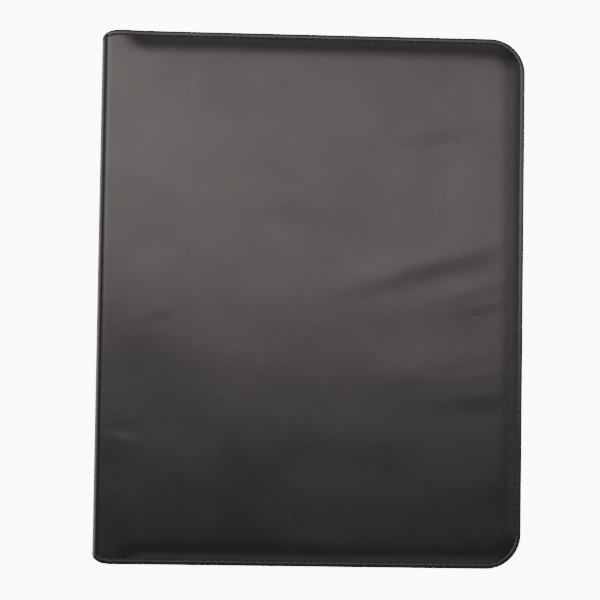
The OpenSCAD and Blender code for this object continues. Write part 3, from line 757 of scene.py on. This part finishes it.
def stitch_hole_shades(line, pitch, length, width, points, faces):
    """Adds a painted shade at each needle hole, between one stitch and the next: a near-black spot
    that stands a little out of the surface.
    """
    for place, along, sideways, out in pitched(line, pitch, between=True):
        first = len(points)
        for scale, rise in HOLE_SHADE_RINGS:
            for j in range(HOLE_SHADE_SIDES):
                a = math.tau * j / HOLE_SHADE_SIDES
                points.append(tuple(place + along * (length / 2 * scale * math.cos(a))
                                    + sideways * (width / 2 * scale * math.sin(a)) + out * rise))
        faces += ring_faces(first, len(HOLE_SHADE_RINGS) - 1, HOLE_SHADE_SIDES)
        faces.append(tuple(range(len(points) - HOLE_SHADE_SIDES, len(points))))


def edge_stitching(side):
    line = edge_line(STITCH_U, STITCH_Z, side)
    points, faces = [], []
    stitch_mesh(line, STITCH_PITCH, 3.0, 0.3, points, faces, sink=0.32, slant=0.1, lift=0.12)
    blended(make(side + "_edge_stitches", points, faces, THREAD), side)
    points, faces = [], []
    # A near-black spot of painted shade at each needle hole, between the stitches.
    stitch_hole_shades(line, STITCH_PITCH, 2.1, 1.5, points, faces)
    blended(make(side + "_edge_hole_shades", points, faces, HOLE_SHADE_PAINT), side)


# ------------------------------------------------------------------ zip tape
def spread_at(y):
    """How far a slider has spread its row of teeth from the closed place."""
    share = (abs(y - MEET_Y) - SPREAD_FLAT) / SPREAD_RUN
    if share <= 0:
        return SPREAD
    return 0.0 if share >= 1 else SPREAD * (1 + math.cos(math.pi * share)) / 2


def chain_stations():
    """Stations (edge point x, y), (inward x, y) from the tape's end at the head to that at the
    foot, closer together where the sliders meet."""
    head_count, corner_steps, fore_count, near, near_count = 116, 18, 140, 12, 25
    found = [((x, HALF_H), (0, -1)) for x in np.linspace(TAPE_END_X, CORNER_X, head_count)]
    for i in range(1, corner_steps):
        a = math.radians(90 - 90 / corner_steps * i)
        c, d = math.cos(a), math.sin(a)
        found.append(((CORNER_X + CORNER_R * c, CORNER_Y + CORNER_R * d), (-c, -d)))
    upper = list(found)
    ys = set(np.linspace(-CORNER_Y, CORNER_Y, fore_count))
    ys.update(np.linspace(MEET_Y - near, MEET_Y + near, near_count))
    for y in sorted(ys, reverse=True):
        found.append(((FORE_X, y), (-1, 0)))
    for (x, y), (ix, iy) in reversed(upper):
        found.append(((x, -y), (ix, -iy)))
    return found


def tape_section(top, wave):
    """(u, z) round the tape: a flange under the lining, and a wall with a rounded, corded top."""
    wall_out, wall_in = ZIP_U - TAPE_T / 2, ZIP_U + TAPE_T / 2
    height = top - FLANGE_TOP
    shares = (0.3, 0.5, 0.7, 0.86)
    section = [(FLANGE_U, FLANGE_LOW), (4.5, FLANGE_LOW), (FLANGE_IN_U - 0.05, FLANGE_LOW),
               (FLANGE_IN_U, FLANGE_LOW + 0.2), (FLANGE_IN_U - 0.05, FLANGE_TOP), (6, FLANGE_TOP),
               (wall_in + 0.35, FLANGE_TOP), (wall_in + 0.1, FLANGE_TOP + 0.1),
               (wall_in, FLANGE_TOP + 0.35)]
    section += [(wall_in + wave, FLANGE_TOP + height * share) for share in shares]
    section += [(wall_in + 0.12, FLANGE_TOP + height * 0.9), (wall_in + 0.12, top - 0.08),
                (wall_in, top), (wall_out, top), (wall_out - 0.12, top - 0.08),
                (wall_out - 0.12, FLANGE_TOP + height * 0.9)]
    section += [(wall_out + wave, FLANGE_TOP + height * share) for share in reversed(shares)]
    section += [(wall_out, FLANGE_TOP + 0.35), (wall_out - 0.1, FLANGE_TOP + 0.1),
                (wall_out - 0.35, FLANGE_TOP), (FLANGE_U + 0.1, FLANGE_TOP)]
    return section


def zip_tape(side):
    """The cloth that carries a row of teeth."""
    points = []
    places = chain_stations()
    for (x, y), (ix, iy) in places:
        top = CORD_Z - 0.05 - (spread_at(y) if ix == -1 else 0)
        wave = 0.05 * noise.noise((x / 11, y / 11, 2.2))
        section = tape_section(top, wave)
        points += [(x + ix * u, y + iy * u, z) for u, z in section]
    n = len(section)
    faces = ring_faces(0, len(places) - 1, n)
    faces.append(tuple(reversed(range(n))))
    faces.append(tuple(range(len(points) - n, len(points))))
    made = make_on_cover(side, side + "_tape_cloth", points, faces, TAPE)
    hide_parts(side + "_zip_tape")
    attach(made, side + "_cover")


# ------------------------------------------------------------------ pockets
BORDER_PLACES = [0, 0.08, 0.25, 0.55, 0.95, 1.4, 1.9, 2.4, 2.9, 3.4, 4.0, 5.2, 7.0, 10.0]
MOUTH_PLACES = [12, 10, 8.4, 7.6, 7.2, 7.0, 6.8, 6.4, 5.4, 4.2, 3, 2, 1.2, 0.7, 0.35, 0.12, 0]


def panel_steps(length, far_places):
    """Places across a pocket, close together at its sewn border and at its far end."""
    near, room = BORDER_PLACES[-1], length - BORDER_PLACES[-1] - far_places[0]
    count = max(4, round(room / 3.5))
    between = [near + room * i / count for i in range(1, count)]
    return BORDER_PLACES + between + [length - v for v in far_places]


def pocket_leather(name, node, body, corner, size, low, rise, swell, seed):
    """A panel sewn down at its sides and foot, with a folded hem at its mouth. Gives the
    function row(start, end), which makes a line for stitches across the panel."""
    x0, y0 = corner
    w, h = size
    side = body.split("_")[0]
    xs, ys = panel_steps(w, BORDER_PLACES[::-1]), panel_steps(h, MOUTH_PLACES)

    def top(x, y):
        d = min(x, w - x, y)
        from_mouth = h - y
        lift = ease((d - 1.1) / 2.9)
        z = low + PANEL_TOP + (rise - FIT) * lift
        z -= 0.55 * (1 - min(1, d / 0.55)) ** 2
        z -= 0.09 * math.exp(-((d - SEW_IN) / 0.45) ** 2)
        z += (swell * ease((d - 3) / 22)
              * noise.noise(((x0 + x) / 46 + seed, (y0 + y) / 46, seed)))
        hem = ease((7.25 - from_mouth) / 0.5) * ease(from_mouth / 0.5) * lift
        z += 0.24 * hem
        z -= 0.07 * math.exp(-((from_mouth - HEM_ROW) / 0.5) ** 2) * lift
        z -= 0.3 * (1 - min(1, from_mouth / 0.4)) ** 2
        return z

    def under(x, y):
        d = min(x, w - x, y)
        thick = PANEL_T * min(1, 0.2 + d / 0.6, 0.3 + (h - y) / 0.4)
        return max(low + FIT, top(x, y) - thick)

    points = [(x0 + x, y0 + y, top(x, y)) for x in xs for y in ys]
    points += [(x0 + x, y0 + y, under(x, y)) for x in xs for y in ys]
    rows, half = len(ys), len(xs) * len(ys)
    faces = []
    for i in range(len(xs) - 1):
        for j in range(rows - 1):
            a = i * rows + j
            faces.append((a, a + rows, a + rows + 1, a + 1))
            faces.append((half + a, half + a + 1, half + a + rows + 1, half + a + rows))
    rim = [i * rows for i in range(len(xs))]
    rim += [(len(xs) - 1) * rows + j for j in range(1, rows)]
    rim += [i * rows + rows - 1 for i in range(len(xs) - 2, -1, -1)]
    rim += list(range(rows - 2, 0, -1))
    for a, b in zip(rim, rim[1:] + rim[:1]):
        faces.append((a, half + a, half + b, b))
    made = make_on_cover(side, name, points, faces, POCKET_LEATHER)
    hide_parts(node)
    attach(made, body)

    def row(start, end):
        count = max(2, int(math.dist(start, end) / 2))
        line = []
        for i in range(count + 1):
            x = start[0] + (end[0] - start[0]) * i / count
            y = start[1] + (end[1] - start[1]) * i / count
            z, out = top(x, y) + 0.04, 1
            if side == "front":
                z, out = CASE_T - z, -1
            line.append((Vector((x0 + x, y0 + y, z)), Vector((0, 0, out))))
        return line

    return row


def border_rows(row, w, h):
    """The rows of stitches at a panel's sides and foot, and along its hem."""
    return [row((SEW_IN, h - SEW_START), (SEW_IN, SEW_IN)),
            row((SEW_IN, SEW_IN), (w - SEW_IN, SEW_IN)),
            row((w - SEW_IN, SEW_IN), (w - SEW_IN, h - SEW_START)),
            row((HEM_SIDE, h - HEM_ROW), (w - HEM_SIDE, h - HEM_ROW))]


def pocket_stitches(name, body, lines):
    points, faces = [], []
    for line in lines:
        stitch_mesh(line, 3.6, 2.8, 0.24, points, faces, sink=0.28, slant=0.22, lift=0.06)
    made = make(name, points, faces, THREAD)
    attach(made, body)


def pad_pocket():
    border = BORDER_W + POCKET_GAP
    w = PAD_X1 - PAD_X0 + 2 * border
    h = 2 * PAD_Y + border - BINDING_W - BINDING_CLEAR
    row = pocket_leather(
        "pad_pocket_panel", "pad_pocket", "back_cover", (PAD_X0 - border, -PAD_Y - border),
        (w, h), POCKET_LOW, PAD_PANEL_Z - POCKET_LOW, 0.12, 3.1)
    pocket_stitches("pad_pocket_stitches", "back_cover", border_rows(row, w, h))


def document_pocket():
    w, h = PAD_X1 - PAD_X0, DOCUMENT_H
    row = pocket_leather(
        "document_pocket_panel", "document_pocket", "front_cover", (PAD_X0, DOCUMENT_Y),
        (w, h), POCKET_LOW, DOCUMENT_ROOM, 0.7, 5.7)
    pocket_stitches("document_pocket_stitches", "front_cover", border_rows(row, w, h))


def card_pockets():
    """Each card pocket lies on the one before it, a step lower at its mouth."""
    lines = []
    corner = (PAD_X1 - CARD_W, DOCUMENT_Y + DOCUMENT_H + CARD_CLEAR)
    for i in range(CARD_COUNT):
        last = i == CARD_COUNT - 1
        h = CARD_H + CARD_STEP * (CARD_COUNT - 1 - i)
        level = POCKET_LOW + i * (PANEL_T + 2 * POCKET_GAP)
        row = pocket_leather(
            f"card_pocket_panel_{i + 1}", f"card_pocket_{i + 1}", "front_cover", corner,
            (CARD_W, h), level, POCKET_GAP, 0.1, 8.2 + i)
        start = SEW_IN if last else h - CARD_STEP
        for x in (SEW_IN, CARD_W - SEW_IN):
            lines.append(row((x, start + 0.4), (x, h - SEW_START)))
        lines.append(row((HEM_SIDE, h - HEM_ROW), (CARD_W - HEM_SIDE, h - HEM_ROW)))
        if last:
            lines.append(row((SEW_IN, SEW_IN), (CARD_W - SEW_IN, SEW_IN)))
    pocket_stitches("card_pocket_stitches", "front_cover", lines)


# ------------------------------------------------------------------ writing pad
PAGE_GROUPS, PAGE_STEPS_X, PAGE_STEPS_Y, PAGE_TRIM = 14, 40, 50, 0.1


def page(points, faces, low, high, shift, bend):
    """One group of sheets, with slightly uneven edges. bend(x, y) lifts its free end."""
    nx, ny = PAGE_STEPS_X, PAGE_STEPS_Y
    first = len(points)
    for z in (low, high):
        for i in range(nx + 1):
            for j in range(ny + 1):
                x = PAD_X0 + PAGE_TRIM + (PAD_X1 - PAD_X0 - 2 * PAGE_TRIM) * i / nx
                y = -PAD_Y + PAGE_TRIM + 2 * (PAD_Y - PAGE_TRIM) * j / ny
                if i in (0, nx):
                    sign = 1 if i else -1
                    x += shift * noise.noise((y / 40, low, 2)) * sign - 0.05 * sign
                if j == 0:
                    y += 0.08 + shift * noise.noise((x / 40, low, 5))
                points.append((x, y, z + bend(x, y)))
    size = (nx + 1) * (ny + 1)

    def at(k, i, j):
        return first + k * size + i * (ny + 1) + j

    for i in range(nx):
        for j in range(ny):
            faces.append((at(1, i, j), at(1, i + 1, j), at(1, i + 1, j + 1), at(1, i, j + 1)))
            faces.append((at(0, i, j), at(0, i, j + 1), at(0, i + 1, j + 1), at(0, i + 1, j)))
    for i in range(nx):
        faces.append((at(0, i, 0), at(0, i + 1, 0), at(1, i + 1, 0), at(1, i, 0)))
        faces.append((at(0, i + 1, ny), at(0, i, ny), at(1, i, ny), at(1, i + 1, ny)))
    for j in range(ny):
        faces.append((at(0, 0, j + 1), at(0, 0, j), at(1, 0, j), at(1, 0, j + 1)))
        faces.append((at(0, nx, j), at(0, nx, j + 1), at(1, nx, j + 1), at(1, nx, j)))


def flat_page(x, y):
    return 0.0


def lifted_page(x, y):
    """The top sheet rises a little towards its foot, most at the free corner."""
    share = max(0.0, (PAD_Y - BINDING_W - y) / (2 * PAD_Y - BINDING_W))
    side = (x - PAD_X0) / (PAD_X1 - PAD_X0)
    return share ** 3 * (0.35 + 0.75 * side ** 3)


def paper_piece(name, points, faces, material):
    made = make(name, points, faces, material, smooth=False)
    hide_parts("pad_sheets")
    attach(made, "back_cover")


def writing_pad():
    """A stack of groups of sheets, and the ruled top sheet."""
    points, faces = [], []
    thick = (SHEETS_TOP - 0.15 - SHEETS_Z) / PAGE_GROUPS
    for g in range(PAGE_GROUPS):
        low = SHEETS_Z + thick * g
        page(points, faces, low + 0.012, low + thick - 0.012, 0.12 + 0.06 * (g % 3), flat_page)
    paper_piece("pad_stack", points, faces, PAPER)
    points, faces = [], []
    page(points, faces, SHEETS_TOP - 0.12, SHEETS_TOP - 0.02, 0.1, lifted_page)
    paper_piece("pad_top_sheet", points, faces, RULED)


# ------------------------------------------------------------------ pen loop
def loop_outline(t):
    """Point and outward direction on the loop's middle line, t along its length."""
    w, h = LOOP_W + ELASTIC_T, LOOP_H + ELASTIC_T
    r = h / 2
    straight, arc = w - h, math.pi * h / 2
    d = t * 2 * (straight + arc)
    if d < straight:
        return (-straight / 2 + d, -r), (0, -1)
    d -= straight
    if d < arc:
        c, e = math.cos(-math.pi / 2 + d / r), math.sin(-math.pi / 2 + d / r)
        return (straight / 2 + r * c, r * e), (c, e)
    d -= arc
    if d < straight:
        return (straight / 2 - d, r), (0, 1)
    c, e = math.cos(math.pi / 2 + (d - straight) / r), math.sin(math.pi / 2 + (d - straight) / r)
    return (-straight / 2 + r * c, r * e), (c, e)


def elastic_loop(points, faces):
    """The ribbed band, closed to an oval ring that sags a little at its top."""
    middle_z = POCKET_LOW + ELASTIC_T + LOOP_H / 2
    h = LOOP_H + ELASTIC_T
    for i in range(LOOP_STEPS):
        (px, pz), (ox, oz) = loop_outline(i / LOOP_STEPS)
        sag = -0.25 * ease((pz + h / 4) / h)
        for face in (1, -1):
            for j in range(RIB_STEPS + 1):
                share = j / RIB_STEPS
                rib = 0.06 * math.cos(math.tau * RIBS * share)
                edge = 0.14 * math.exp(-min(share, 1 - share) / 0.012)
                half = ELASTIC_T / 2 - 0.09 + rib - edge
                points.append((LOOP_X + px + ox * half * face, LOOP_Y + LOOP_L * (share - 0.5),
                               middle_z + pz + sag + oz * half * face))
    row, step = RIB_STEPS + 1, 2 * (RIB_STEPS + 1)
    for i in range(LOOP_STEPS):
        a, b = i * step, ((i + 1) % LOOP_STEPS) * step
        for j in range(RIB_STEPS):
            faces.append((a + j, a + j + 1, b + j + 1, b + j))
            c, d = a + row + j, b + row + j
            faces.append((c, d, d + 1, c + 1))
        faces.append((a, b, b + row, a + row))
        c, d = a + RIB_STEPS, b + RIB_STEPS
        faces.append((c, c + row, d + row, d))


def elastic_foot(points, faces):
    """The flat foot under the loop, thinner towards its sewn ends."""
    first = len(points)
    for i in range(FOOT_STEPS + 1):
        x = -LOOP_FOOT_HALF + 2 * LOOP_FOOT_HALF * i / FOOT_STEPS
        droop = 0.25 * ease((abs(x) - LOOP_FOOT_HALF + 1.2) / 1.2)
        ys = [LOOP_Y + LOOP_L * (j / RIB_STEPS - 0.5) for j in range(RIB_STEPS + 1)]
        for j, y in enumerate(ys):
            rib = 0.05 * math.cos(math.tau * RIBS * (j / RIB_STEPS))
            points.append((LOOP_X + x, y, POCKET_LOW + PANEL_TOP + rib - droop))
        points += [(LOOP_X + x, y, POCKET_LOW + FIT) for y in ys]
    row, step = RIB_STEPS + 1, 2 * (RIB_STEPS + 1)
    for i in range(FOOT_STEPS):
        a, b = first + i * step, first + (i + 1) * step
        for j in range(RIB_STEPS):
            faces.append((a + j, b + j, b + j + 1, a + j + 1))
            c, d = a + row + j, b + row + j
            faces.append((c, c + 1, d + 1, d))
        faces.append((a, a + row, b + row, b))
        c, d = a + RIB_STEPS, b + RIB_STEPS
        faces.append((c, d, d + row, c + row))
    last = first + FOOT_STEPS * step
    for j in range(RIB_STEPS):
        faces.append((first + j, first + j + 1, first + row + 1 + j, first + row + j))
        faces.append((last + j, last + row + j, last + row + 1 + j, last + j + 1))


def pen_loop():
    """Ribbed elastic sewn down by its foot."""
    seam_half, seam_steps, seam_in = 10.4, 10, 0.9
    points, faces = [], []
    elastic_loop(points, faces)
    elastic_foot(points, faces)
    made = make("pen_loop_elastic", points, faces, ELASTIC)
    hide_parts("pen_loop")
    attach(made, "back_cover")
    lines = []
    for x in (-LOOP_FOOT_HALF + seam_in, LOOP_FOOT_HALF - seam_in):
        line = []
        for i in range(seam_steps + 1):
            y = LOOP_Y - seam_half + 2 * seam_half * i / seam_steps
            line.append((Vector((LOOP_X + x, y, POCKET_LOW + PANEL_T)), Vector((0, 0, 1))))
        lines.append(line)
    pocket_stitches("pen_loop_stitches", "back_cover", lines)


# ------------------------------------------------------------------ all pieces
for side in ("back", "front"):
    leather_cover(side)
    lining_cloth(side)
    edge_stitching(side)
    zip_tape(side)
    softened(side + "_zip_teeth", side + "_teeth", TEETH, 0.1, segments=2)
    softened(side + "_zip_stops", side + "_stops", TEETH, 0.3, segments=3)
    foam_sheet(side)
    repaint(side + "_board", GREYBOARD)
for place in ("upper", "lower"):
    softened("slider_" + place, place + "_slider", METAL, 0.22, segments=3)
    softened("pull_" + place, place + "_pull", METAL, 0.2, segments=3)
repaint("spine_board", GREYBOARD)
softened("pad_binding", "binding_strip", BINDING, 0.1, segments=2)
softened("pad_backing", "pad_board", BACKING, 0.15, segments=2)
pad_pocket()
document_pocket()
card_pockets()
writing_pad()
pen_loop()


# ------------------------------------------------------------------ floor and light
# The floor looks white, but glows only weakly at the leather, which mirrors it.
FLOOR_SIZE, FLOOR_GLOW, FLOOR_SEEN = 12, 1.3, 10.0
SOFTBOX_Z = 1.33
WARM, NEUTRAL = (1.0, 0.915, 0.89), (1, 1, 1)


def floor():
    white = Nodes("floor_white")
    seen = white.add("ShaderNodeLightPath").outputs["Is Camera Ray"]
    glow = {"Emission Color": (1.0, 1.0, 1.0),
            "Emission Strength": white.spread(seen, 0, 1, FLOOR_GLOW, FLOOR_SEEN)}
    bpy.ops.mesh.primitive_plane_add(size=FLOOR_SIZE, location=(0, 0, 0))
    made = bpy.context.object
    made.name = "floor"
    made.data.materials.append(white.finish((0.93, 0.93, 0.93), 0.9, **glow))


def lamp(name, location, target, width, height, power, color=WARM):
    data = bpy.data.lights.new(name, "AREA")
    data.shape = "RECTANGLE"
    data.size, data.size_y = width, height
    data.energy = power
    data.color = color
    made = bpy.data.objects.new(name, data)
    made.location = location
    made.rotation_euler = (Vector(target) - Vector(location)).to_track_quat("-Z", "Y").to_euler()
    bpy.context.scene.collection.objects.link(made)


def softbox(name, x, y, width, height, power):
    """A lamp that faces straight down. The covers mirror the softboxes at the camera."""
    lamp(name, (x, y, SOFTBOX_Z), (x, y, 0), width, height, power)


floor()
softbox("softbox_left", -0.43, 0.365, 0.66, 0.2, 2.45)
softbox("softbox_left_low", -0.43, 0.1775, 0.66, 0.175, 1.55)
softbox("softbox_right", 0.15, 0.365, 0.5, 0.2, 1.04)
softbox("softbox_right_low", 0.15, 0.155, 0.5, 0.22, 1.43)
softbox("softbox_edge", 0.7, 0.265, 0.6, 0.4, 1.35)
softbox("softbox_head", -0.18, 0.63, 1.16, 0.33, 0.95)
lamp("left_high", (-0.99, 0.4, 1.23), (-0.13, 0.4, 0), 0.6, 0.7, 5.6)
lamp("left_panel", (-1.35, 0.65, 1.05), (-0.13, 0.65, 0), 0.85, 1.5, 2.6)
lamp("right_panel", (1.35, 0.35, 1.0), (0.13, 0.35, 0), 1.0, 1.4, 3.5)
lamp("head_panel", (0, 1.35, 1.0), (0, 0.15, 0), 1.6, 1.0, 3.2)
lamp("foot_panel", (0, -1.25, 1.1), (0, -0.15, 0), 1.6, 1.0, 2.6, NEUTRAL)
world = bpy.data.worlds.new("studio")
world.use_nodes = True
world.node_tree.nodes["Background"].inputs["Color"].default_value = (1, 1, 1, 1)
world.node_tree.nodes["Background"].inputs["Strength"].default_value = 0.3
bpy.context.scene.world = world
